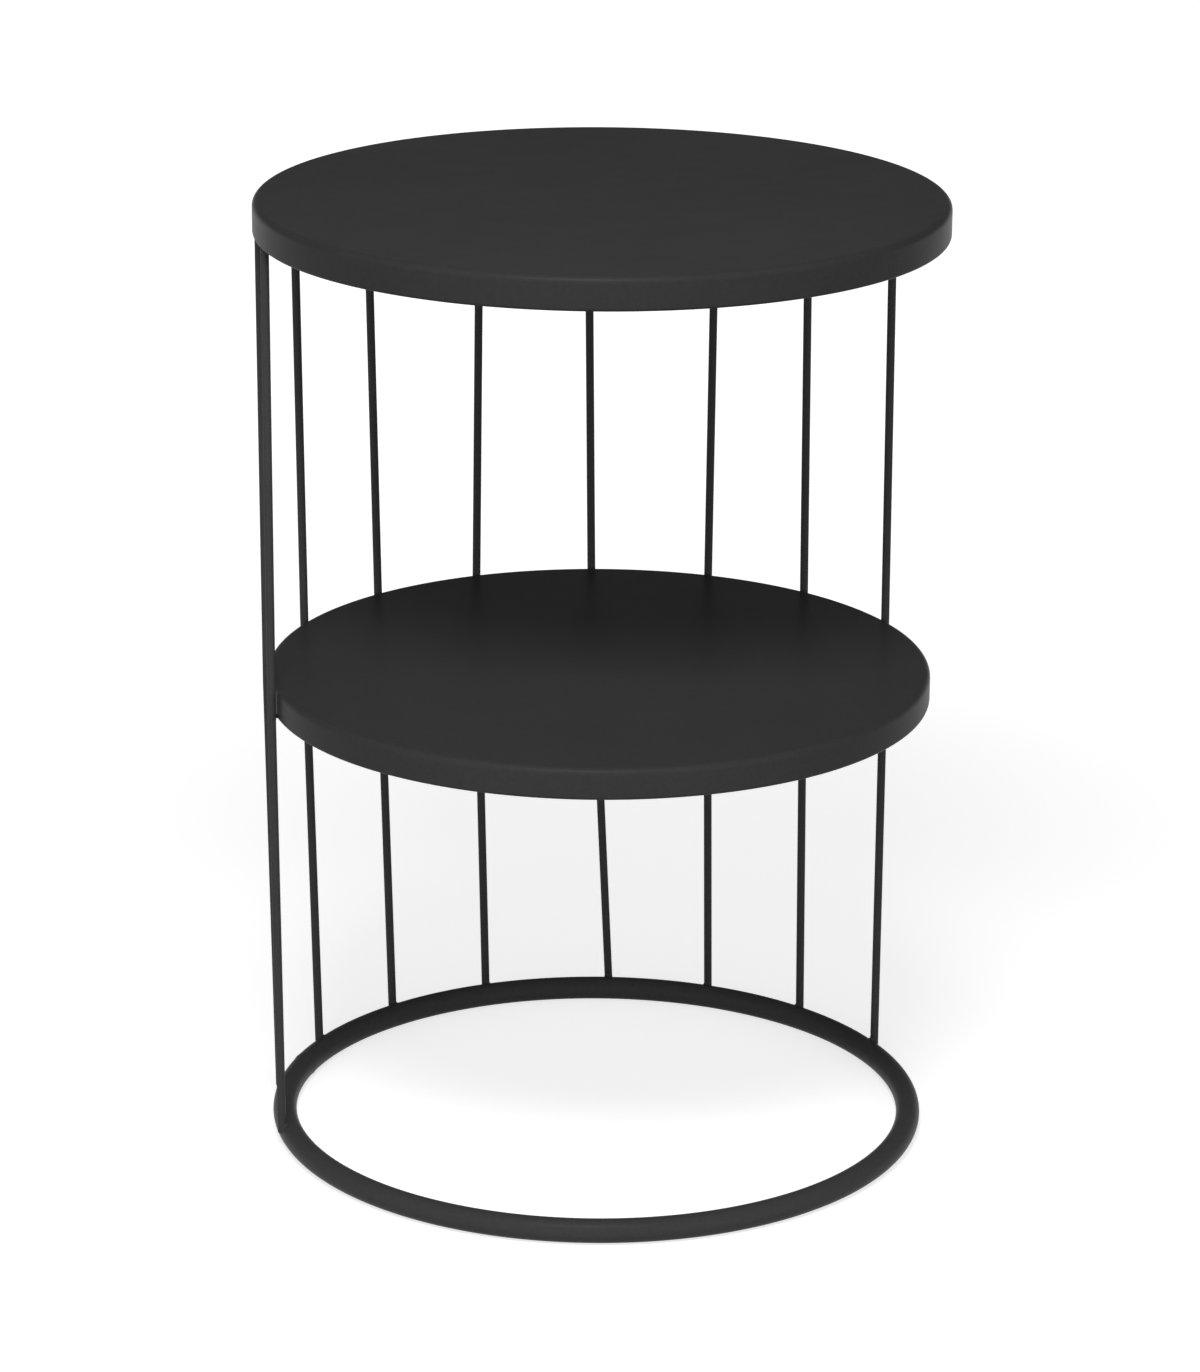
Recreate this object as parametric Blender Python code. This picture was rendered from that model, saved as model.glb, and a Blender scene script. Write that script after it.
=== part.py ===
"""Round two-tier side table: two pressed steel pans carried by wire rods on a ring of tube.

Metres, +Z up. The origin is on the floor at the centre of the ring. The open side faces -Y, and the
rods stand over the back of the circle, numbered from the left end of the row as seen from the open side.
"""

import math

import bmesh
import bpy
from mathutils import Matrix, Vector

# Main sizes
TABLE_HEIGHT = 0.510
TOP_DIAMETER = 0.360
SHELF_HEIGHT = 0.2585

# Pressed sheet pans
SHEET = 0.0012
TOP_RIM = 0.0175
SHELF_RIM = 0.0165
EDGE_RADIUS = 0.0035
BEND_RADIUS = 0.0018
LIP_WIDTH = 0.009

# Base ring of round tube, set in from the edge of the top
RING_INSET = 0.004
TUBE_DIAMETER = 0.0127

# Wire rods, about even in pitch
ROD_COUNT = 9
ROD_DIAMETER = 0.0045
ROD_PITCH = math.radians(21.0)

# Angle from the crown of the tube out to the shoulder where the rods stand
SHOULDER = math.radians(54.0)

# Degrees that each rod was welded off the even pitch, at its top, beside the shelf and at its foot
TOP_LEAN = (0.5, -2.0, -2.0, -2.0, 0.5, -0.8, 1.25, -1.2, -0.5)
SHELF_LEAN = (0.4, 0.0, 0.0, 0.0, -0.3, 0.2, 0.7, -0.5, 0.2)
FOOT_LEAN = (1.2, 2.0, 1.8, 1.8, 1.1, 3.8, 2.1, 1.1, 1.5)

# Weld beads on the inner side of each rod
BEAD_RADIUS = 0.0011
LIP_BEAD_REACH = math.radians(75.0)
FOOT_BEAD_REACH = math.radians(115.0)
BEAD_END = 0.45

# Gap kept between pieces that touch
CLEARANCE = 0.0003

# Facets
TURN_STEPS = 80
EDGE_STEPS = 4
BEND_STEPS = 2
TUBE_SIDES = 16
ROD_SIDES = 12
BEAD_STEPS = 8
BEAD_RESOLUTION = 1
MERGE_DISTANCE = 1e-6
SHARP_ANGLE = math.radians(40.0)

# Sizes that follow from those above
TOP_RADIUS = TOP_DIAMETER / 2
ROD_RADIUS = ROD_DIAMETER / 2
ROD_CIRCLE = TOP_RADIUS - ROD_RADIUS
SHELF_RADIUS = ROD_CIRCLE - ROD_RADIUS - CLEARANCE
TUBE_RADIUS = TUBE_DIAMETER / 2
RING_RADIUS = TOP_RADIUS - RING_INSET - TUBE_RADIUS
RING_LEVEL = TUBE_RADIUS * math.cos(math.pi / TUBE_SIDES)
TOP_LIP_LEVEL = TABLE_HEIGHT - TOP_RIM
SHELF_LIP_LEVEL = SHELF_HEIGHT - SHELF_RIM
BEAD_STANDOFF = ROD_RADIUS + CLEARANCE + BEAD_RADIUS


def clear_scene():
    """Remove every object that is already in the scene."""
    for item in list(bpy.data.objects):
        bpy.data.objects.remove(item, do_unlink=True)


def powder_coat(name, shade, roughness):
    """Return a satin black coat: a dielectric film over steel, of one grey shade."""
    material = bpy.data.materials.new(name)
    material.use_nodes = True
    shader = material.node_tree.nodes["Principled BSDF"]
    shader.inputs["Base Color"].default_value = (shade, shade, shade, 1.0)
    shader.inputs["Roughness"].default_value = roughness
    shader.inputs["Metallic"].default_value = 0.0
    return material


def place(name, data, material, parent, height=0.0):
    """Add an object for mesh or curve data at a height above the floor."""
    item = bpy.data.objects.new(name, data)
    bpy.context.scene.collection.objects.link(item)
    item.parent = parent
    item.location = (0.0, 0.0, height)
    data.materials.append(material)
    return item


def smooth_mesh(name, bm):
    """Turn a bmesh into a mesh with outward faces, smooth except across its sharp edges."""
    bmesh.ops.remove_doubles(bm, verts=bm.verts, dist=MERGE_DISTANCE)
    bmesh.ops.recalc_face_normals(bm, faces=bm.faces)
    mesh = bpy.data.meshes.new(name)
    bm.to_mesh(mesh)
    bm.free()
    mesh.shade_smooth()
    mesh.set_sharp_from_angle(angle=SHARP_ANGLE)
    return mesh


def arc(centre, radius, start, end, steps):
    """Return (radius, height) points along an arc, with angles counted from +X towards +Z."""
    points = []
    for step in range(steps + 1):
        angle = start + (end - start) * step / steps
        points.append((centre[0] + radius * math.cos(angle), centre[1] + radius * math.sin(angle)))
    return points


def turned(name, outline, closed):
    """Turn an outline of (radius, height) points once round the Z axis."""
    bm = bmesh.new()
    verts = [bm.verts.new((radius, 0.0, height)) for radius, height in outline]
    ends = verts[1:] + verts[:1] if closed else verts[1:]
    edges = [bm.edges.new(pair) for pair in zip(verts, ends)]
    bmesh.ops.spin(bm, geom=verts + edges, cent=(0.0, 0.0, 0.0), axis=(0.0, 0.0, 1.0),
                   angle=math.tau, steps=TURN_STEPS, use_merge=True)
    return smooth_mesh(name, bm)


def pan_mesh(name, radius, rim):
    """Pressed pan with its face at height 0: rounded edge, drop rim and a lip turned in below."""
    edge = (radius - EDGE_RADIUS, -EDGE_RADIUS)
    bend = (radius - BEND_RADIUS, BEND_RADIUS - rim)
    lip = radius - LIP_WIDTH
    outer = [(0.0, 0.0)]
    outer += arc(edge, EDGE_RADIUS, math.pi / 2, 0.0, EDGE_STEPS)
    outer += arc(bend, BEND_RADIUS, 0.0, -math.pi / 2, BEND_STEPS)
    outer.append((lip, -rim))
    inner = [(lip, SHEET - rim)]
    inner += arc(bend, BEND_RADIUS - SHEET, -math.pi / 2, 0.0, BEND_STEPS)
    inner += arc(edge, EDGE_RADIUS - SHEET, 0.0, math.pi / 2, EDGE_STEPS)
    inner.append((0.0, -SHEET))
    return turned(name, outer + inner, closed=False)


def ring_mesh(name):
    """Ring of tube about its own centre, with a flat facet below to stand on."""
    half_side = math.pi / TUBE_SIDES
    section = arc((RING_RADIUS, 0.0), TUBE_RADIUS, half_side, math.tau + half_side, TUBE_SIDES)
    return turned(name, section[:-1], closed=True)


def on_circle(radius, angle, height):
    """Return the point at an angle counted from +Y towards +X."""
    return Vector((radius * math.sin(angle), radius * math.cos(angle), height))


def shoulder_point(angle, standoff):
    """Return a point over the shoulder of the tube, at a distance from the tube's surface."""
    reach = TUBE_RADIUS + standoff
    return on_circle(RING_RADIUS + reach * math.sin(SHOULDER), angle, RING_LEVEL + reach * math.cos(SHOULDER))


def rod_path(index):
    """Return a rod's axis: its top under the lip, its place beside the shelf and its foot on the ring."""
    even = (index - (ROD_COUNT - 1) / 2) * ROD_PITCH
    top_angle, shelf_angle, foot_angle = (even + math.radians(lean[index % len(lean)])
                                          for lean in (TOP_LEAN, SHELF_LEAN, FOOT_LEAN))
    return (on_circle(ROD_CIRCLE, top_angle, TOP_LIP_LEVEL - CLEARANCE),
            on_circle(ROD_CIRCLE, shelf_angle, SHELF_LIP_LEVEL),
            shoulder_point(foot_angle, CLEARANCE))


def axis_at(path, height):
    """Return the point of a rod's axis at a height."""
    top, beside_shelf, foot = path
    upper, lower = (top, beside_shelf) if height > beside_shelf.z else (beside_shelf, foot)
    return lower.lerp(upper, (height - lower.z) / (upper.z - lower.z))


def rod_mesh(name, path):
    """Round rod along its axis, cut square at the top and mitred to the shoulder of the tube."""
    top, beside_shelf, foot = path
    past_foot = foot + (foot - beside_shelf).normalized() * TUBE_DIAMETER
    bm = bmesh.new()
    bmesh.ops.create_circle(bm, segments=ROD_SIDES, radius=ROD_RADIUS, matrix=Matrix.Translation(top))
    edges = bm.edges[:]
    for start, end in ((top, beside_shelf), (beside_shelf, past_foot)):
        grown = bmesh.ops.extrude_edge_only(bm, edges=edges)["geom"]
        verts = [part for part in grown if isinstance(part, bmesh.types.BMVert)]
        edges = [part for part in grown if isinstance(part, bmesh.types.BMEdge)]
        bmesh.ops.translate(bm, vec=end - start, verts=verts)
    outward = Vector((foot.x, foot.y, 0.0)).normalized()
    normal = outward * math.sin(SHOULDER) + Vector((0.0, 0.0, math.cos(SHOULDER)))
    bmesh.ops.bisect_plane(bm, geom=bm.verts[:] + bm.edges[:] + bm.faces[:], plane_co=foot,
                           plane_no=normal, clear_inner=True)
    bmesh.ops.holes_fill(bm, edges=bm.edges[:])
    return smooth_mesh(name, bm)


def bead_curve(name, path, centre, reach, height_of):
    """Weld bead hugging the inner side of a rod at a point of its axis, thickest in the middle."""
    inward = -Vector((centre.x, centre.y, 0.0)).normalized()
    sideways = Vector((-inward.y, inward.x, 0.0))
    curve = bpy.data.curves.new(name, "CURVE")
    curve.dimensions = "3D"
    curve.bevel_depth = BEAD_RADIUS
    curve.bevel_resolution = BEAD_RESOLUTION
    curve.use_fill_caps = True
    spline = curve.splines.new("POLY")
    spline.points.add(BEAD_STEPS)
    for step, knot in enumerate(spline.points):
        share = 2 * step / BEAD_STEPS - 1
        turn = share * reach
        offset = BEAD_STANDOFF * (inward * math.cos(turn) + sideways * math.sin(turn))
        spot = axis_at(path, height_of(centre + offset)) + offset
        knot.co = (*spot, 1.0)
        knot.radius = 1.0 - (1.0 - BEAD_END) * share ** 2
    return curve


def under_lip(level):
    """Return the height rule of a bead that lies against the underside of a lip."""
    return lambda spot: level - CLEARANCE - BEAD_RADIUS


def over_tube(spot):
    """Return the height at which a bead over this spot lies against the tube."""
    reach = TUBE_RADIUS + CLEARANCE + BEAD_RADIUS
    across = min(max(math.hypot(spot.x, spot.y) - RING_RADIUS, -reach), reach)
    return RING_LEVEL + math.sqrt(reach ** 2 - across ** 2)


def build():
    """Build the whole table under one empty."""
    clear_scene()
    table = bpy.data.objects.new("side_table", None)
    bpy.context.scene.collection.objects.link(table)

    top_coat = powder_coat("tabletop coat", shade=0.034, roughness=0.42)
    shelf_coat = powder_coat("shelf coat", shade=0.032, roughness=0.42)
    ring_coat = powder_coat("ring coat", shade=0.036, roughness=0.38)
    rod_coat = powder_coat("rod coat", shade=0.030, roughness=0.42)
    weld_coat = powder_coat("weld coat", shade=0.030, roughness=0.50)

    place("tabletop", pan_mesh("tabletop", TOP_RADIUS, TOP_RIM), top_coat, table, TABLE_HEIGHT)
    place("shelf", pan_mesh("shelf", SHELF_RADIUS, SHELF_RIM), shelf_coat, table, SHELF_HEIGHT)
    place("base_ring", ring_mesh("base_ring"), ring_coat, table, RING_LEVEL)

    for index in range(ROD_COUNT):
        path = rod_path(index)
        rod = f"rod_{index + 1}"
        place(rod, rod_mesh(rod, path), rod_coat, table)
        top, beside_shelf, foot = path
        beads = (("top", top, LIP_BEAD_REACH, under_lip(TOP_LIP_LEVEL)),
                 ("shelf", beside_shelf, LIP_BEAD_REACH, under_lip(SHELF_LIP_LEVEL)),
                 ("foot", foot, FOOT_BEAD_REACH, over_tube))
        for end, centre, reach, height_of in beads:
            weld = f"{rod}_{end}_weld"
            place(weld, bead_curve(weld, path, centre, reach, height_of), weld_coat, table)


build()
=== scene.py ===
"""Looks of the round two-tier side table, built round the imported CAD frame.

Metres, +Z up, in the frame of the CAD part: the origin is on the floor at the centre of the ring, and the
open side of the table faces -Y. Each CAD node is replaced by a finer piece at the same place. The pans and
the ring are turned from outlines, the rods follow their axes and the welds run round the rods, all by
geometry node trees that are written here.
"""

import logging
import math
from dataclasses import dataclass
from enum import Enum
from typing import Any, Iterable, Sequence

import bmesh
import bpy
from mathutils import Matrix, Vector


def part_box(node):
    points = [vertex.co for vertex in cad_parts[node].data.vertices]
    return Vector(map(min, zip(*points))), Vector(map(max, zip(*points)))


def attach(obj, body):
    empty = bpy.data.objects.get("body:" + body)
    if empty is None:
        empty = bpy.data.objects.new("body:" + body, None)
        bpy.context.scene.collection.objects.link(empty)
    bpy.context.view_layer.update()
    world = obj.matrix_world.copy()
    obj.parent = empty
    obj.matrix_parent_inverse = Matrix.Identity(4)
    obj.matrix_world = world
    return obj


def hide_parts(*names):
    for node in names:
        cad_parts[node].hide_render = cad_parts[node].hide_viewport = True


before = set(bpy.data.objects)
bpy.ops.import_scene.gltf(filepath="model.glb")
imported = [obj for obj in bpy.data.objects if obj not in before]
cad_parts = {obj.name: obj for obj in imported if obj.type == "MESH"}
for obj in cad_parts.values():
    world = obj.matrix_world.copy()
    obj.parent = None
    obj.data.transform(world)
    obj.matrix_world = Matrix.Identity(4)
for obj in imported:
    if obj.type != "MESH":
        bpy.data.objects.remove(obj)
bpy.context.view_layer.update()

LOG = logging.getLogger("side_table")
BODY = "root"
ROD_COUNT = 9
MERGE_DISTANCE = 1e-6
SHARP_ANGLE = math.radians(50.0)
UP = Vector((0.0, 0.0, 1.0))
WHITE = (1.0, 1.0, 1.0, 1.0)

# Directions in an outline, in degrees from outwards towards up.
OUTWARDS = 0.0
UPWARDS = 90.0
DOWNWARDS = -90.0
FULL_TURN = 360.0

# CAD points are compared to this many decimals, and count as level within this height.
POINT_DIGITS = 6
LEVEL_TOLERANCE = 1e-4

# The band that holds nearly all of a noise, and its middle.
NOISE_BAND = (0.3, 0.7)
NOISE_MIDDLE = 0.5

# Levels that go from nothing to all, and from all to nothing.
RISING = (0.0, 1.0)
FALLING = (1.0, 0.0)

Socket = bpy.types.NodeSocket
Span = tuple[float, float]


class Slot(Enum):
    """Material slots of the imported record."""

    PAN = "pan_coat"
    RING = "ring_coat"
    ROD = "rod_coat"
    WELD = "weld_coat"


class Joint(Enum):
    """The places where a rod is welded to another piece."""

    TOP = "top"
    SHELF = "shelf"
    FOOT = "foot"


class SocketKind(Enum):
    """Kinds of named input that a shape tree takes."""

    NUMBER = "NodeSocketFloat"
    COUNT = "NodeSocketInt"
    PLACE = "NodeSocketVector"
    FINISH = "NodeSocketMaterial"


class Easing(Enum):
    """Ways to go from one level to another."""

    STRAIGHT = "LINEAR"
    SMOOTH = "SMOOTHSTEP"


class NodeNet:
    """Node tree that is filled from code."""

    def __init__(self, tree: bpy.types.NodeTree) -> None:
        """Take up a tree.

        Args:
            tree: The tree that gets the nodes.
        """
        self.tree = tree

    def plug(self, socket: Socket, value: Any) -> None:
        """Link a socket to another one, or give it a constant.

        Args:
            socket: The input to fill.
            value: An output socket or a plain value.
        """
        if isinstance(value, Socket):
            self.tree.links.new(value, socket)
        else:
            socket.default_value = value

    def node(self, kind: str, wires: dict[str | int, Any] | None = None, **settings: Any) -> bpy.types.Node:
        """Add a node.

        Args:
            kind: Blender's type name of the node.
            wires: A value or an output socket for each input that is set, by the input's name or number.
            **settings: Properties of the node.

        Returns:
            The new node.
        """
        made = self.tree.nodes.new(kind)
        for key, value in settings.items():
            setattr(made, key, value)
        for key, value in (wires or {}).items():
            self.plug(made.inputs[key], value)
        return made

    def calc(self, operation: str, *terms: Any) -> Socket:
        """Add a math node.

        Args:
            operation: Name of the operation.
            *terms: One to three values or sockets.

        Returns:
            The socket of the result.
        """
        made = self.node("ShaderNodeMath", operation=operation)
        for socket, term in zip(made.inputs, terms):
            self.plug(socket, term)
        return made.outputs[0]

    def parts(self, vector: Socket) -> tuple[Socket, ...]:
        """Return the x, y and z of a vector."""
        return tuple(self.node("ShaderNodeSeparateXYZ", {"Vector": vector}).outputs)


class ShaderNet(NodeNet):
    """Nodes of a material or of the world."""

    def noise(self, place: Socket, scale: float, detail: float) -> Socket:
        """Return a noise over a place."""
        wires = {"Vector": place, "Scale": scale, "Detail": detail}
        return self.node("ShaderNodeTexNoise", wires).outputs["Fac"]

    def ranged(self, value: Socket, reach: Span, levels: Span, easing: Easing) -> Socket:
        """Go from one level to another.

        Args:
            value: What the level follows.
            reach: The value where the first level ends, and where the second starts.
            levels: The two levels.
            easing: How the level goes between them.

        Returns:
            The socket of the level.
        """
        wires = dict(zip(("From Min", "From Max", "To Min", "To Max"), (*reach, *levels)))
        step = self.node("ShaderNodeMapRange", {"Value": value, **wires}, interpolation_type=easing.value)
        return step.outputs["Result"]

    def drift(self, noise: Socket, middle: float, swing: float) -> Socket:
        """Return a level that follows a noise to both sides of a middle."""
        return self.ranged(noise, NOISE_BAND, (middle - swing, middle + swing), Easing.STRAIGHT)

    def seen(self, level: Socket) -> Socket:
        """Keep a level for the eye, for reflections and for clear things, and drop it for light.

        Args:
            level: The level.

        Returns:
            The socket of the kept level.
        """
        rays = self.node("ShaderNodeLightPath").outputs
        direct = self.calc("MAXIMUM", rays["Is Camera Ray"], rays["Is Glossy Ray"])
        looks = self.calc("MAXIMUM", direct, rays["Is Transmission Ray"])
        return self.calc("MULTIPLY", looks, level)


@dataclass(frozen=True)
class PowderCoat:
    """Satin black powder coat: a dark film with a fine orange peel and a slow drift of shade.

    Attributes:
        name: Name of the material.
        shade: Grey of the film. It is set per piece, lighter on pieces that get less light, so it also
            holds painted light and shade.
        roughness: Middle of its roughness.
        specular: Strength of its reflection.
        blue_tint: Blue of the film as a share of its grey.
        shade_drift: Share by which the shade drifts.
        roughness_drift: Amount by which the roughness drifts.
        cloud_scale: Fineness of the drift of shade.
        gloss_scale: Fineness of the drift of roughness.
        fleck_scale: Fineness of the flecks.
        fleck_share: Share by which a fleck changes the shade.
        peel_scale: Fineness of the orange peel.
        peel_depth: Depth of the peel.
        peel_strength: Share of the depth that shows.
        broad_detail: Layers in the slow noises.
        fine_detail: Layers in the fine noises.
    """

    name: str
    shade: float
    roughness: float
    specular: float = 0.035
    blue_tint: float = 1.02
    shade_drift: float = 0.04
    roughness_drift: float = 0.015
    cloud_scale: float = 14.0
    gloss_scale: float = 56.0
    fleck_scale: float = 420.0
    fleck_share: float = 0.05
    peel_scale: float = 1150.0
    peel_depth: float = 0.00003
    peel_strength: float = 0.25
    broad_detail: float = 3.0
    fine_detail: float = 2.0

    def material(self) -> bpy.types.Material:
        """Make the coat as a node material on object coordinates.

        Returns:
            The new material.
        """
        coat = bpy.data.materials.new(self.name)
        coat.use_nodes = True
        net = ShaderNet(coat.node_tree)
        place = net.node("ShaderNodeTexCoord").outputs["Object"]

        cloud = net.drift(net.noise(place, self.cloud_scale, self.broad_detail), 1.0, self.shade_drift)
        fleck = net.drift(net.noise(place, self.fleck_scale, self.fine_detail), 1.0, self.fleck_share)
        film = (self.shade, self.shade, self.shade * self.blue_tint)
        tinting = {0: film, "Scale": net.calc("MULTIPLY", cloud, fleck)}
        colour = net.node("ShaderNodeVectorMath", tinting, operation="SCALE").outputs[0]

        gloss = net.noise(place, self.gloss_scale, self.broad_detail)
        roughness = net.drift(gloss, self.roughness, self.roughness_drift)

        peel = net.noise(place, self.peel_scale, self.fine_detail)
        relief = {"Strength": self.peel_strength, "Distance": self.peel_depth, "Height": peel}
        bump = net.node("ShaderNodeBump", relief).outputs["Normal"]

        shader = net.tree.nodes["Principled BSDF"].inputs
        net.plug(shader["Specular IOR Level"], self.specular)
        net.plug(shader["Base Color"], colour)
        net.plug(shader["Roughness"], roughness)
        net.plug(shader["Normal"], bump)
        return coat


# The whole table has one coat. Its shade is set lighter on the shelf, ring, rods and welds than on the top,
# to make up for the light each gets: painted light and shade.
TABLETOP_COAT = PowderCoat("tabletop coat", shade=0.030, roughness=0.38)
SHELF_COAT = PowderCoat("shelf coat", shade=0.036, roughness=0.38)
RING_COAT = PowderCoat("ring coat", shade=0.047, roughness=0.38)
ROD_COAT = PowderCoat("rod coat", shade=0.048, roughness=0.48)
WELD_COAT = PowderCoat("weld coat", shade=0.046, roughness=0.52)


class ShapeTree(NodeNet):
    """Geometry node tree with named inputs and a plain ending."""

    def __init__(self, name: str, inputs: dict[str, SocketKind]) -> None:
        """Start a tree that takes geometry, a finish and further named inputs.

        Args:
            name: Name of the node group.
            inputs: Kind of each named input.
        """
        super().__init__(bpy.data.node_groups.new(name, "GeometryNodeTree"))
        self.tree.is_modifier = True
        face = self.tree.interface
        face.new_socket("Geometry", in_out="OUTPUT", socket_type="NodeSocketGeometry")
        face.new_socket("Geometry", in_out="INPUT", socket_type="NodeSocketGeometry")
        self.identifiers: dict[str, str] = {}
        for label, kind in {**inputs, "Finish": SocketKind.FINISH}.items():
            socket = face.new_socket(label, in_out="INPUT", socket_type=kind.value)
            self.identifiers[label] = socket.identifier
        self.entry = self.node("NodeGroupInput")

    def given(self, label: str) -> Socket:
        """Return the socket of a named input."""
        return self.entry.outputs[label]

    def rows(self, across: Any, along: Any) -> tuple[Socket, ...]:
        """Add a grid of points, to be put in place row by row.

        Args:
            across: Points in each row.
            along: Number of rows.

        Returns:
            The grid, and the row and the column of each point.
        """
        grid = self.node("GeometryNodeMeshGrid", {"Vertices X": along, "Vertices Y": across})
        index = self.node("GeometryNodeInputIndex").outputs[0]
        # Half a point more keeps the quotient clear of whole numbers.
        row = self.calc("FLOOR", self.calc("DIVIDE", self.calc("ADD", index, 0.5), across))
        column = self.calc("SUBTRACT", index, self.calc("MULTIPLY", row, across))
        return grid.outputs["Mesh"], row, column

    def outline_point(self, column: Socket) -> tuple[Socket, ...]:
        """Look up a point of the outline that the host carries.

        Args:
            column: Number of the point.

        Returns:
            The point's distance across and its height.
        """
        position = self.node("GeometryNodeInputPosition").outputs[0]
        wires = {"Geometry": self.given("Geometry"), "Value": position, "Index": column}
        found = self.node("GeometryNodeSampleIndex", wires, data_type="FLOAT_VECTOR", domain="POINT")
        across, _, height = self.parts(found.outputs["Value"])
        return across, height

    def outline_count(self) -> Socket:
        """Return the number of points in the outline that the host carries."""
        wires = {"Geometry": self.given("Geometry")}
        return self.node("GeometryNodeAttributeDomainSize", wires, component="MESH").outputs["Point Count"]

    def out(self, x: Socket, y: Socket) -> Socket:
        """Return the distance of a spot from the table's axis."""
        return self.calc("SQRT", self.calc("ADD", self.calc("POWER", x, 2.0), self.calc("POWER", y, 2.0)))

    def rise(self, radius: Socket, offset: Socket) -> Socket:
        """Return the height of a round section over its middle, at an offset to the side."""
        squares = self.calc("POWER", radius, 2.0), self.calc("POWER", offset, 2.0)
        return self.calc("SQRT", self.calc("SUBTRACT", *squares))

    def moved(self, geometry: Socket, x: Any, y: Any, z: Any) -> Socket:
        """Put every point of a geometry at x, y, z."""
        place = self.node("ShaderNodeCombineXYZ", {"X": x, "Y": y, "Z": z}).outputs[0]
        return self.node("GeometryNodeSetPosition", {"Geometry": geometry, "Position": place}).outputs[0]

    def end(self, geometry: Socket) -> None:
        """Close the tree with merged points, real geometry and the finish.

        Args:
            geometry: The shape to hand out.
        """
        merging = {"Geometry": geometry, "Distance": MERGE_DISTANCE}
        merged = self.node("GeometryNodeMergeByDistance", merging).outputs[0]
        smooth = self.node("GeometryNodeSetShadeSmooth", {"Geometry": merged}).outputs[0]
        real = self.node("GeometryNodeRealizeInstances", {"Geometry": smooth}).outputs[0]
        coating = {"Geometry": real, "Material": self.given("Finish")}
        coated = self.node("GeometryNodeSetMaterial", coating).outputs[0]
        self.node("NodeGroupOutput", {"Geometry": coated})

    def shape(self, name: str, outline: Sequence[Vector], values: dict[str, Any]) -> bpy.types.Object:
        """Run the tree on an outline and keep the result as a plain mesh.

        Args:
            name: Name of the new piece.
            outline: Points of the line that the tree starts from.
            values: Value of each named input.

        Returns:
            The piece, at the origin, with no modifier.
        """
        line = bpy.data.meshes.new(name)
        line.from_pydata(outline, [(i, i + 1) for i in range(len(outline) - 1)], [])
        piece = bpy.data.objects.new(name, line)
        modifier = piece.modifiers.new(self.tree.name, "NODES")
        modifier.node_group = self.tree
        for label, value in values.items():
            modifier[self.identifiers[label]] = value
        bpy.context.scene.collection.objects.link(piece)
        graph = bpy.context.evaluated_depsgraph_get()
        mesh = bpy.data.meshes.new_from_object(piece.evaluated_get(graph))
        piece.modifiers.clear()
        piece.data = mesh
        bpy.data.meshes.remove(line)
        mesh.name = name
        face_outwards(mesh)
        return piece


class TurnedTree(ShapeTree):
    """Turns an outline once round Z, with a swelling where the ends of a bar are welded together."""

    def __init__(self) -> None:
        """Write the tree."""
        labels = ("Start", "Core Radius", "Core Height", "Swell", "Swell Width")
        super().__init__("turned", {"Steps": SocketKind.COUNT, **dict.fromkeys(labels, SocketKind.NUMBER)})
        steps = self.given("Steps")
        core = self.given("Core Radius")
        mesh, row, column = self.rows(self.outline_count(), self.calc("ADD", steps, 1.0))
        across, height = self.outline_point(column)
        turn = self.calc("MULTIPLY", self.calc("DIVIDE", row, steps), math.tau)
        nearest = self.calc("MINIMUM", turn, self.calc("SUBTRACT", math.tau, turn))
        reach = self.calc("DIVIDE", self.calc("MULTIPLY", nearest, core), self.given("Swell Width"))
        bell = self.calc("EXPONENT", self.calc("MULTIPLY", self.calc("POWER", reach, 2.0), -1.0))
        growth = self.calc("MULTIPLY_ADD", bell, self.given("Swell"), 1.0)
        radius = self.grown(across, core, growth)
        # The swelling doesn't go below the floor.
        level = self.calc("MAXIMUM", self.grown(height, self.given("Core Height"), growth), 0.0)
        angle = self.calc("ADD", turn, self.given("Start"))
        x = self.calc("MULTIPLY", radius, self.calc("SINE", angle))
        y = self.calc("MULTIPLY", radius, self.calc("COSINE", angle))
        self.end(self.moved(mesh, x, y, level))

    def grown(self, value: Any, core: Any, growth: Any) -> Socket:
        """Return a value moved away from a core by a factor."""
        return self.calc("MULTIPLY_ADD", self.calc("SUBTRACT", value, core), growth, core)


class WireTree(ShapeTree):
    """Runs a round wire along a path and copes its lower end to the ring of tube."""

    def __init__(self) -> None:
        """Write the tree."""
        labels = ("Wire Radius", "Bend Radius", "Cope Below", "Ring Radius", "Ring Height", "Tube Radius",
                  "Cope Limit", "Sink")
        super().__init__("wire", {"Sides": SocketKind.COUNT, **dict.fromkeys(labels, SocketKind.NUMBER)})
        path = self.node("GeometryNodeMeshToCurve", {"Mesh": self.given("Geometry")}).outputs[0]
        bending = {"Curve": path, "Radius": self.given("Bend Radius"), "Limit Radius": True}
        bent = self.node("GeometryNodeFilletCurve", bending, mode="POLY").outputs[0]
        circle = {"Resolution": self.given("Sides"), "Radius": self.given("Wire Radius")}
        section = self.node("GeometryNodeCurvePrimitiveCircle", circle).outputs[0]
        running = {"Curve": bent, "Profile Curve": section, "Fill Caps": True}
        wire = self.node("GeometryNodeCurveToMesh", running).outputs[0]
        x, y, z = self.parts(self.node("GeometryNodeInputPosition").outputs[0])
        side = self.calc("SUBTRACT", self.out(x, y), self.given("Ring Radius"))
        offset = self.calc("MINIMUM", side, self.given("Cope Limit"))
        rise = self.rise(self.given("Tube Radius"), offset)
        level = self.calc("SUBTRACT", self.calc("ADD", self.given("Ring Height"), rise), self.given("Sink"))
        low = self.calc("LESS_THAN", z, self.given("Cope Below"))
        height = self.calc("MULTIPLY_ADD", low, self.calc("SUBTRACT", level, z), z)
        self.end(self.moved(wire, x, y, height))


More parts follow.
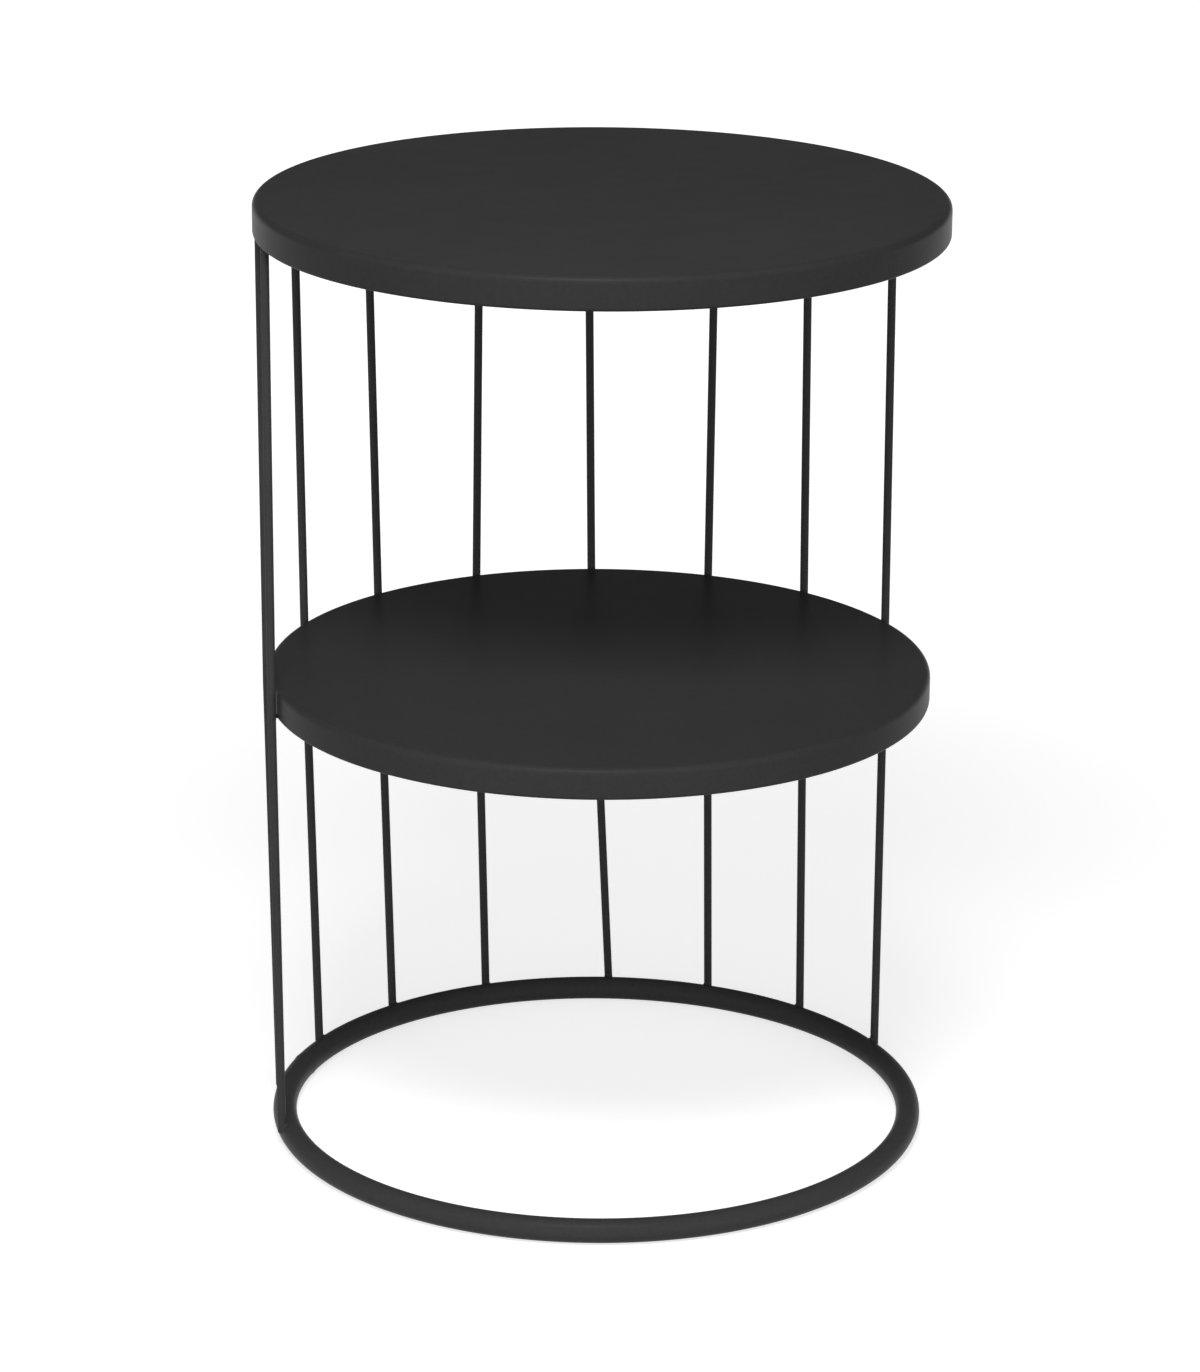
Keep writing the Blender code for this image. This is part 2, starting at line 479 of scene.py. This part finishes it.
class WeldTree(ShapeTree):
    """Lays a weld fillet round part of a rod, down to the rounded piece that the rod meets."""

    TAPER_POWER = 4.0
    NOISE_SCALE = 1.0
    NOISE_DETAIL = 1.0

    def __init__(self) -> None:
        """Write the tree."""
        labels = ("Facing", "Reach", "Wire Radius", "Core Radius", "Core Height", "Round", "Lowest",
                  "Highest", "Side", "Ripple", "Ripples", "Seed")
        super().__init__("weld", {"Steps": SocketKind.COUNT, "Axis": SocketKind.PLACE,
                                  **dict.fromkeys(labels, SocketKind.NUMBER)})
        steps = self.given("Steps")
        mesh, row, column = self.rows(self.outline_count(), self.calc("ADD", steps, 1.0))
        across, height = self.outline_point(column)
        # The share runs from -1 at one end of the bead to 1 at the other.
        share = self.calc("SUBTRACT", self.calc("MULTIPLY", self.calc("DIVIDE", row, steps), 2.0), 1.0)
        size = self.calc("MULTIPLY", self.taper(share), self.ripple(share))
        angle = self.calc("MULTIPLY_ADD", share, self.given("Reach"), self.given("Facing"))
        away = self.calc("MULTIPLY_ADD", across, size, self.given("Wire Radius"))
        axis_x, axis_y, _ = self.parts(self.given("Axis"))
        x = self.calc("MULTIPLY_ADD", away, self.calc("SINE", angle), axis_x)
        y = self.calc("MULTIPLY_ADD", away, self.calc("COSINE", angle), axis_y)
        lift = self.calc("MULTIPLY", self.calc("MULTIPLY", height, size), self.given("Side"))
        self.end(self.moved(mesh, x, y, self.calc("ADD", self.base(x, y), lift)))

    def taper(self, share: Socket) -> Socket:
        """Return the size of the bead along its length, full in the middle and nothing at the ends."""
        fall = self.calc("POWER", self.calc("ABSOLUTE", share), self.TAPER_POWER)
        return self.calc("SQRT", self.calc("SUBTRACT", 1.0, fall))

    def ripple(self, share: Socket) -> Socket:
        """Make the unevenness of a bead laid by hand, from seeded noise along it.

        Args:
            share: Place along the bead.

        Returns:
            The socket of the factor on the bead's size.
        """
        place = self.calc("ADD", self.calc("MULTIPLY", share, self.given("Ripples")), self.given("Seed"))
        wires = {"W": place, "Scale": self.NOISE_SCALE, "Detail": self.NOISE_DETAIL}
        wave = self.node("ShaderNodeTexNoise", wires, noise_dimensions="1D").outputs["Fac"]
        swing = self.calc("SUBTRACT", wave, NOISE_MIDDLE)
        return self.calc("MULTIPLY_ADD", swing, self.given("Ripple"), 1.0)

    def base(self, x: Socket, y: Socket) -> Socket:
        """Find the surface of the rounded piece that the bead lies on.

        Args:
            x: First coordinate of a spot.
            y: Second coordinate of the spot.

        Returns:
            The socket of the surface's height at the spot.
        """
        side = self.calc("SUBTRACT", self.out(x, y), self.given("Core Radius"))
        inner = self.calc("MAXIMUM", side, self.given("Lowest"))
        offset = self.calc("MINIMUM", inner, self.given("Highest"))
        rise = self.rise(self.given("Round"), offset)
        return self.calc("MULTIPLY_ADD", rise, self.given("Side"), self.given("Core Height"))


def face_outwards(mesh: bpy.types.Mesh) -> None:
    """Point the faces of a closed mesh outwards and mark its sharp edges.

    Args:
        mesh: The mesh to finish.
    """
    shell = bmesh.new()
    shell.from_mesh(mesh)
    bmesh.ops.recalc_face_normals(shell, faces=shell.faces)
    shell.to_mesh(mesh)
    shell.free()
    mesh.set_sharp_from_angle(angle=SHARP_ANGLE)


def point(across: float, height: float) -> Vector:
    """Return a point of an outline."""
    return Vector((across, 0.0, height))


def arc(centre: Span, radius: float, start: float, end: float, steps: int) -> list[Vector]:
    """Walk along an arc of an outline.

    Args:
        centre: Distance from the axis and height of the arc's centre.
        radius: Radius of the arc.
        start: First angle in degrees, from outwards towards up.
        end: Last angle in degrees.
        steps: Number of steps between them.

    Returns:
        The points, as (distance, 0, height).
    """
    angles = [math.radians(start + (end - start) * step / steps) for step in range(steps + 1)]
    return [point(centre[0] + radius * math.cos(a), centre[1] + radius * math.sin(a)) for a in angles]


def tie(piece: bpy.types.Object, nodes: Iterable[str]) -> None:
    """Fix a finished piece to the CAD frame.

    Args:
        piece: The piece.
        nodes: The CAD nodes that it stands for.
    """
    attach(piece, BODY)
    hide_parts(*nodes)
    LOG.info("%s: %d faces, for %s", piece.name, len(piece.data.polygons), ", ".join(nodes))


@dataclass
class PressedPan:
    """Pressed steel pan: flat face, rounded edge, drop rim and a lip turned in below.

    Attributes:
        node: The CAD node that gives its place, width and height.
        coat: Its finish.
        sheet: Thickness of the sheet.
        edge_radius: Outer radius of the edge between face and rim.
        bend_radius: Outer radius of the bend between rim and lip.
        lip_width: Width of the lip, with its bend.
        guard: Width of the flat strip beside a bend, which keeps the shading of the flats true.
        turn_steps: Steps round the pan.
        edge_steps: Steps round the edge.
        bend_steps: Steps round the bend.
        lip_steps: Steps round a quarter of the lip's rounded end.
    """

    node: str
    coat: PowderCoat
    sheet: float = 0.0012
    edge_radius: float = 0.0035
    bend_radius: float = 0.0018
    lip_width: float = 0.009
    guard: float = 0.0005
    turn_steps: int = 288
    edge_steps: int = 12
    bend_steps: int = 6
    lip_steps: int = 4

    def outline(self) -> list[Vector]:
        """Draw the pan's section from the middle of its face round to the middle of its underside.

        Returns:
            The points, as (distance, 0, height).
        """
        low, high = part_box(self.node)
        radius, face, below = high.x, high.z, low.z
        edge = (radius - self.edge_radius, face - self.edge_radius)
        bend = (radius - self.bend_radius, below + self.bend_radius)
        lip = (radius - self.lip_width + self.sheet / 2, below + self.sheet / 2)
        inside, underside = radius - self.sheet, face - self.sheet
        face_end, lip_start = edge[0] - self.guard, bend[0] - self.guard
        rim_top, rim_foot = edge[1] - self.guard, bend[1] + self.guard
        return [
            point(0.0, face), point(edge[0] / 2, face), point(face_end, face),
            *arc(edge, self.edge_radius, UPWARDS, OUTWARDS, self.edge_steps),
            point(radius, rim_top), point(radius, rim_foot),
            *arc(bend, self.bend_radius, OUTWARDS, DOWNWARDS, self.bend_steps),
            point(lip_start, below),
            *arc(lip, self.sheet / 2, DOWNWARDS, UPWARDS - FULL_TURN, 2 * self.lip_steps),
            point(lip_start, below + self.sheet),
            *arc(bend, self.bend_radius - self.sheet, DOWNWARDS, OUTWARDS, self.bend_steps),
            point(inside, rim_foot), point(inside, rim_top),
            *arc(edge, self.edge_radius - self.sheet, OUTWARDS, UPWARDS, self.edge_steps),
            point(face_end, underside), point(0.0, underside),
        ]

    def build(self, tree: TurnedTree) -> bpy.types.Object:
        """Turn the pan.

        Args:
            tree: The tree that turns outlines.

        Returns:
            The pan as a plain mesh object.
        """
        return tree.shape(f"{self.node}_pan", self.outline(), {
            "Steps": self.turn_steps, "Start": 0.0, "Core Radius": 0.0, "Core Height": 0.0,
            "Swell": 0.0, "Swell Width": 1.0, "Finish": self.coat.material(),
        })

    def dress(self, piece: bpy.types.Object) -> None:
        """Fix the pan to the frame in the place of its node."""
        tie(piece, [self.node])


@dataclass
class BaseRing:
    """Ring of round tube, closed by a butt weld that was ground down and painted over.

    Attributes:
        node: The CAD node that gives its width.
        coat: Its finish.
        tube_radius: Outer radius of the tube.
        cad_sides: Sides of the tube's section in the CAD.
        seam_angle: Direction of the butt weld, from +Y towards +X.
        seam_swell: Share by which the tube swells there.
        seam_width: Length over which the swelling fades.
        turn_steps: Steps round the ring.
        tube_sides: Steps round the tube.
    """

    node: str
    coat: PowderCoat
    tube_radius: float = 0.00635
    cad_sides: int = 16
    seam_angle: float = math.radians(-50.0)
    seam_swell: float = 0.045
    seam_width: float = 0.0016
    turn_steps: int = 360
    tube_sides: int = 40

    @property
    def core_radius(self) -> float:
        """Radius of the middle of the tube."""
        facet = math.cos(math.pi / self.cad_sides)
        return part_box(self.node)[1].x - self.tube_radius * facet

    @property
    def core_height(self) -> float:
        """Height of the middle of the tube, which stands on the floor."""
        return self.tube_radius

    def build(self, tree: TurnedTree) -> bpy.types.Object:
        """Turn the ring, starting at its weld.

        Args:
            tree: The tree that turns outlines.

        Returns:
            The ring as a plain mesh object.
        """
        core = (self.core_radius, self.core_height)
        section = arc(core, self.tube_radius, OUTWARDS, FULL_TURN, self.tube_sides)
        return tree.shape("ring_tube", section, {
            "Steps": self.turn_steps, "Start": self.seam_angle, "Core Radius": self.core_radius,
            "Core Height": self.core_height, "Swell": self.seam_swell, "Swell Width": self.seam_width,
            "Finish": self.coat.material(),
        })

    def dress(self, piece: bpy.types.Object) -> None:
        """Fix the ring to the frame in the place of its node."""
        tie(piece, [self.node])


@dataclass(frozen=True)
class RodAxis:
    """Axis of one rod, read from its CAD node.

    Attributes:
        top: Its upper end, under the lip of the top.
        bend: Its bend, at the lower edge of the shelf.
        foot: Its lower end, on the ring.
        radius: Radius of the rod.
    """

    top: Vector
    bend: Vector
    foot: Vector
    radius: float

    @classmethod
    def of(cls, node: str) -> "RodAxis":
        """Read a rod's axis from the rings of points at its ends and at its bend.

        Args:
            node: The rod's CAD node.

        Returns:
            The axis and the rod's radius.
        """
        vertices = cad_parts[node].data.vertices
        spots = {tuple(round(value, POINT_DIGITS) for value in vertex.co) for vertex in vertices}
        highest = max(spot[2] for spot in spots)
        bend_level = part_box("shelf")[0].z
        rings = ([s for s in spots if s[2] > highest - LEVEL_TOLERANCE],
                 [s for s in spots if abs(s[2] - bend_level) < LEVEL_TOLERANCE],
                 [s for s in spots if s[2] < bend_level - LEVEL_TOLERANCE])
        top, bend, foot = (sum((Vector(s) for s in ring), Vector()) / len(ring) for ring in rings)
        return cls(top, bend, foot, (Vector(rings[0][0]) - top).length)


@dataclass
class RodRow:
    """The row of wire rods, each from the lip of the top past the shelf to the shoulder of the ring.

    Attributes:
        coat: Finish of the rods.
        weld_coat: Finish of the welds.
        ring: The ring that the rods stand on.
        top_pan: The pan that they hold up.
        shelf_pan: The pan that they pass.
        sides: Steps round a rod.
        bend_radius: Radius of the bend at the shelf.
        into_lip: Length of a rod's upper end that is sunk in the lip.
        past_foot: Length added below, for the cope.
        cope_limit: Share of a round piece's radius that a cope or a weld follows.
        sink: Depth of the coped end in the tube.
        weld_leg: Width of a weld on the piece.
        weld_rise: Width of a weld on the rod.
        weld_sink: Depth of a weld's root.
        weld_steps: Steps along a weld.
        weld_arc_steps: Steps across its hollow face.
        lip_reach: Angle from the middle of a weld at a lip to its ends.
        foot_reach: Angle from the middle of a weld at the foot to its ends.
        ripple: Share by which the size of a weld varies.
        ripples: Number of waves in half a weld.
        seed: Step of the noise from one weld to the next.
    """

    coat: PowderCoat
    weld_coat: PowderCoat
    ring: BaseRing
    top_pan: PressedPan
    shelf_pan: PressedPan
    sides: int = 28
    bend_radius: float = 0.12
    into_lip: float = 0.0016
    past_foot: float = 0.004
    cope_limit: float = 0.97
    sink: float = 0.0004
    weld_leg: float = 0.0014
    weld_rise: float = 0.0020
    weld_sink: float = 0.0005
    weld_steps: int = 32
    weld_arc_steps: int = 7
    lip_reach: float = math.radians(100.0)
    foot_reach: float = math.radians(118.0)
    ripple: float = 0.55
    ripples: float = 3.5
    seed: float = 12.5

    def build_rod(self, tree: WireTree, name: str, axis: RodAxis,
                  finish: bpy.types.Material) -> bpy.types.Object:
        """Run one rod from inside the lip down to the ring.

        Args:
            tree: The tree that runs wires.
            name: Name of the new piece.
            axis: The rod's axis.
            finish: The rod's finish.

        Returns:
            The rod as a plain mesh object.
        """
        top = axis.top + UP * self.into_lip
        foot = axis.foot + (axis.foot - axis.bend).normalized() * self.past_foot
        ring = self.ring
        return tree.shape(name, [top, axis.bend, foot], {
            "Wire Radius": axis.radius, "Sides": self.sides, "Bend Radius": self.bend_radius,
            "Cope Below": axis.foot.z, "Ring Radius": ring.core_radius, "Ring Height": ring.core_height,
            "Tube Radius": ring.tube_radius, "Cope Limit": ring.tube_radius * self.cope_limit,
            "Sink": self.sink, "Finish": finish,
        })

    def weld_outline(self) -> list[Vector]:
        """Draw the hollow section of a fillet weld, with its root inside the joint.

        Returns:
            The points of the closed section, as (distance, 0, height).
        """
        steps = self.weld_arc_steps
        angles = [math.radians(UPWARDS * step / steps) for step in range(steps + 1)]
        points = [point(self.weld_leg * (1.0 - math.cos(a)), self.weld_rise * (1.0 - math.sin(a)))
                  for a in angles]
        points.append(point(-self.weld_sink, -self.weld_sink))
        return points + points[:1]

    def seat(self, joint: Joint) -> dict[str, float]:
        """Describe the rounded piece that a weld lies against.

        Args:
            joint: Which of the rod's joints.

        Returns:
            Values for the weld tree.
        """
        if joint is Joint.FOOT:
            reach = self.ring.tube_radius * self.cope_limit
            return {"Core Radius": self.ring.core_radius, "Core Height": self.ring.core_height,
                    "Round": self.ring.tube_radius, "Lowest": -reach, "Highest": reach, "Side": 1.0,
                    "Reach": self.foot_reach}
        pan = self.top_pan if joint is Joint.TOP else self.shelf_pan
        low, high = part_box(pan.node)
        return {"Core Radius": high.x - pan.bend_radius, "Core Height": low.z + pan.bend_radius,
                "Round": pan.bend_radius, "Lowest": 0.0, "Highest": pan.bend_radius * self.cope_limit,
                "Side": -1.0, "Reach": self.lip_reach}

    def build_weld(self, tree: WeldTree, name: str, axis: RodAxis, joint: Joint, seed: float,
                   finish: bpy.types.Material) -> bpy.types.Object:
        """Lay one weld on the inner side of a rod.

        Args:
            tree: The tree that lays welds.
            name: Name of the new piece.
            axis: The rod's axis.
            joint: Which of the rod's joints.
            seed: Start of the noise along the bead.
            finish: The weld's finish.

        Returns:
            The weld as a plain mesh object.
        """
        centre = {Joint.TOP: axis.top, Joint.SHELF: axis.bend, Joint.FOOT: axis.foot}[joint]
        return tree.shape(name, self.weld_outline(), {
            **self.seat(joint), "Steps": self.weld_steps, "Axis": centre,
            "Facing": math.atan2(-centre.x, -centre.y), "Wire Radius": axis.radius,
            "Ripple": self.ripple, "Ripples": self.ripples, "Seed": seed, "Finish": finish,
        })

    def build(self, wires: WireTree, welds: WeldTree) -> dict[str, bpy.types.Object]:
        """Make every rod and its three welds.

        Args:
            wires: The tree that runs wires.
            welds: The tree that lays welds.

        Returns:
            The pieces by the name of the CAD node that each stands for.
        """
        finish = self.coat.material()
        weld_finish = self.weld_coat.material()
        pieces: dict[str, bpy.types.Object] = {}
        for number in range(1, ROD_COUNT + 1):
            rod = f"rod_{number}"
            axis = RodAxis.of(rod)
            pieces[rod] = self.build_rod(wires, f"{rod}_wire", axis, finish)
            for place, joint in enumerate(Joint):
                name = f"{rod}_{joint.value}"
                seed = self.seed * (number + ROD_COUNT * place)
                weld = self.build_weld(welds, f"{name}_fillet", axis, joint, seed, weld_finish)
                pieces[f"{name}_weld"] = weld
        return pieces

    def dress(self, pieces: dict[str, bpy.types.Object]) -> None:
        """Fix the rods and welds to the frame in the place of their nodes."""
        for node, piece in pieces.items():
            tie(piece, [node])


@dataclass(frozen=True)
class Viewpoint:
    """Place of the photograph's camera, for an image of 1200 by 1372.

    Attributes:
        image_long_side: Height of the image in pixels.
        focal_pixels: Focal length in pixels.
        sensor: Long side of the sensor in millimetres.
        azimuth: Level direction of the view, from +Y towards +X.
        pitch: Angle by which the camera looks down.
        roll: Angle by which it is turned about its view.
        distance: Level distance from the table's axis.
        height: Height over the floor.
        sideways: Distance to the right of the table's axis.
    """

    image_long_side: int = 1372
    focal_pixels: float = 4917.3
    sensor: float = 36.0
    azimuth: float = math.radians(22.7)
    pitch: float = math.radians(18.03)
    roll: float = 0.0066
    distance: float = 2.4829
    height: float = 1.0533
    sideways: float = 0.000488

    @property
    def along(self) -> Vector:
        """Level direction in which the camera looks."""
        return Vector((math.sin(self.azimuth), math.cos(self.azimuth), 0.0))

    @property
    def across(self) -> Vector:
        """Level direction to the right of the picture."""
        return Vector((math.cos(self.azimuth), -math.sin(self.azimuth), 0.0))

    def build(self) -> bpy.types.Object:
        """Set up the camera.

        Returns:
            The camera, which is also the scene's.
        """
        ahead = self.along * math.cos(self.pitch) - UP * math.sin(self.pitch)
        above = self.along * math.sin(self.pitch) + UP * math.cos(self.pitch)
        right = self.across * math.cos(self.roll) + above * math.sin(self.roll)
        up = above * math.cos(self.roll) - self.across * math.sin(self.roll)
        data = bpy.data.cameras.new("photo_camera")
        data.sensor_width = self.sensor
        data.lens = self.focal_pixels / self.image_long_side * self.sensor
        camera = bpy.data.objects.new("photo_camera", data)
        bpy.context.scene.collection.objects.link(camera)
        turn = Matrix((right, up, -ahead)).transposed().to_4x4()
        spot = self.across * self.sideways - self.along * self.distance + UP * self.height
        camera.matrix_world = Matrix.Translation(spot) @ turn
        bpy.context.scene.camera = camera
        return camera


@dataclass
class Studio:
    """Plain pale floor under a soft dome of light, with one softbox over the open side.

    Attributes:
        viewpoint: The camera, which the light is set out from.
        floor_size: Side of the square floor.
        floor_drop: Depth of the floor under the ring, so that the two don't touch.
        floor_shade: Grey of the floor as light finds it.
        floor_lift: Light of its own that the floor shows to the eye, near the table and far from it.
        floor_reach: Distances from the table where the near level ends and the far one starts.
        dome_front: Strength of the dome low down in front of the table.
        dome_back: Strength low down behind it.
        dome_zenith: Strength overhead.
        dome_spread: Where the back ends and the front starts, from -1 behind to 1 in front.
        dome_rise: Where the low part ends and the overhead part starts, from 0 at the horizon to 1.
        haze_rise: Where the white haze along the horizon starts to fade, and where it ends.
        softbox_power: Power of the softbox in watts.
        softbox_size: Its width and depth.
        softbox_forward: Its distance from the table's axis towards the camera.
        softbox_left: Its distance to the left.
        softbox_height: Its height over the floor.
    """

    viewpoint: Viewpoint
    floor_size: float = 2000.0
    floor_drop: float = 0.0002
    floor_shade: float = 0.72
    floor_lift: Span = (0.70, 0.90)
    floor_reach: Span = (0.45, 1.6)
    dome_front: float = 1.4
    dome_back: float = 0.16
    dome_zenith: float = 0.08
    dome_spread: Span = (-0.6, 0.7)
    dome_rise: Span = (0.05, 1.0)
    haze_rise: Span = (0.01, 0.09)
    softbox_power: float = 11.0
    softbox_size: Span = (0.5, 0.3)
    softbox_forward: float = 0.85
    softbox_left: float = 0.08
    softbox_height: float = 1.32

    def floor_paint(self) -> bpy.types.Material:
        """Make a paint that is white to the eye and to reflections, and still takes a shadow.

        Returns:
            The new material.
        """
        paint = bpy.data.materials.new("pale floor")
        paint.use_nodes = True
        net = ShaderNet(paint.node_tree)
        net.tree.nodes.clear()
        shade = (self.floor_shade, self.floor_shade, self.floor_shade, 1.0)
        diffuse = net.node("ShaderNodeBsdfDiffuse", {"Color": shade}).outputs[0]
        place = net.node("ShaderNodeTexCoord").outputs["Object"]
        distance = net.node("ShaderNodeVectorMath", {0: place}, operation="LENGTH").outputs["Value"]
        lift = net.ranged(distance, self.floor_reach, self.floor_lift, Easing.SMOOTH)
        glow = net.node("ShaderNodeEmission", {"Strength": net.seen(lift)}).outputs[0]
        both = net.node("ShaderNodeAddShader", {0: diffuse, 1: glow}).outputs[0]
        net.node("ShaderNodeOutputMaterial", {"Surface": both})
        return paint

    def build_floor(self) -> bpy.types.Object:
        """Lay the floor.

        Returns:
            The floor, marked as stage.
        """
        half = self.floor_size / 2
        corners = [(-half, -half), (half, -half), (half, half), (-half, half)]
        mesh = bpy.data.meshes.new("floor")
        mesh.from_pydata([(x, y, -self.floor_drop) for x, y in corners], [], [(0, 1, 2, 3)])
        mesh.materials.append(self.floor_paint())
        floor = bpy.data.objects.new("floor", mesh)
        bpy.context.scene.collection.objects.link(floor)
        return floor

    def build_dome(self) -> bpy.types.World:
        """Light the scene from a dome that is bright low down in front and dim above and behind.

        A white haze along the horizon, for the eye and for reflections, hides where the floor ends.

        Returns:
            The scene's world.
        """
        world = bpy.data.worlds.new("soft dome")
        world.use_nodes = True
        net = ShaderNet(world.node_tree)
        direction = net.node("ShaderNodeTexCoord").outputs["Generated"]
        towards = {0: direction, 1: -self.viewpoint.along}
        facing = net.node("ShaderNodeVectorMath", towards, operation="DOT_PRODUCT").outputs["Value"]
        height = net.parts(direction)[2]
        levels = (self.dome_back, self.dome_front)
        around = net.ranged(facing, self.dome_spread, levels, Easing.SMOOTH)
        overhead = net.ranged(height, self.dome_rise, RISING, Easing.SMOOTH)
        mixing = {"Factor": overhead, "A": around, "B": self.dome_zenith}
        dome = net.node("ShaderNodeMix", mixing).outputs["Result"]
        haze = net.seen(net.ranged(height, self.haze_rise, FALLING, Easing.SMOOTH))
        background = net.tree.nodes["Background"].inputs
        net.plug(background["Strength"], net.calc("MAXIMUM", dome, haze))
        net.plug(background["Color"], WHITE)
        bpy.context.scene.world = world
        return world

    def build_softbox(self) -> bpy.types.Object:
        """Hang the softbox over the open side of the table.

        Returns:
            The lamp.
        """
        data = bpy.data.lights.new("softbox", "AREA")
        data.shape = "RECTANGLE"
        data.size, data.size_y = self.softbox_size
        data.energy = self.softbox_power
        lamp = bpy.data.objects.new("softbox", data)
        bpy.context.scene.collection.objects.link(lamp)
        view = self.viewpoint
        level = -view.along * self.softbox_forward - view.across * self.softbox_left
        spot = UP * self.softbox_height + level
        middle = UP * (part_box("tabletop")[1].z / 2)
        turn = (spot - middle).to_track_quat("Z", "Y").to_matrix().to_4x4()
        lamp.matrix_world = Matrix.Translation(spot) @ turn
        return lamp

    def build(self) -> None:
        """Set up the floor, the light and the camera."""
        self.build_floor()
        self.build_dome()
        self.build_softbox()
        self.viewpoint.build()


def main() -> None:
    """Build the table and the studio round it."""
    logging.basicConfig(level=logging.INFO, format="%(name)s: %(message)s")
    bpy.context.scene.view_settings.view_transform = "Standard"

    turned = TurnedTree()
    top = PressedPan("tabletop", TABLETOP_COAT)
    shelf = PressedPan("shelf", SHELF_COAT)
    ring = BaseRing("base_ring", RING_COAT)
    for assembly in (top, shelf, ring):
        assembly.dress(assembly.build(turned))

    rods = RodRow(ROD_COAT, WELD_COAT, ring, top, shelf)
    rods.dress(rods.build(WireTree(), WeldTree()))

    Studio(Viewpoint()).build()


if __name__ == "__main__":
    main()
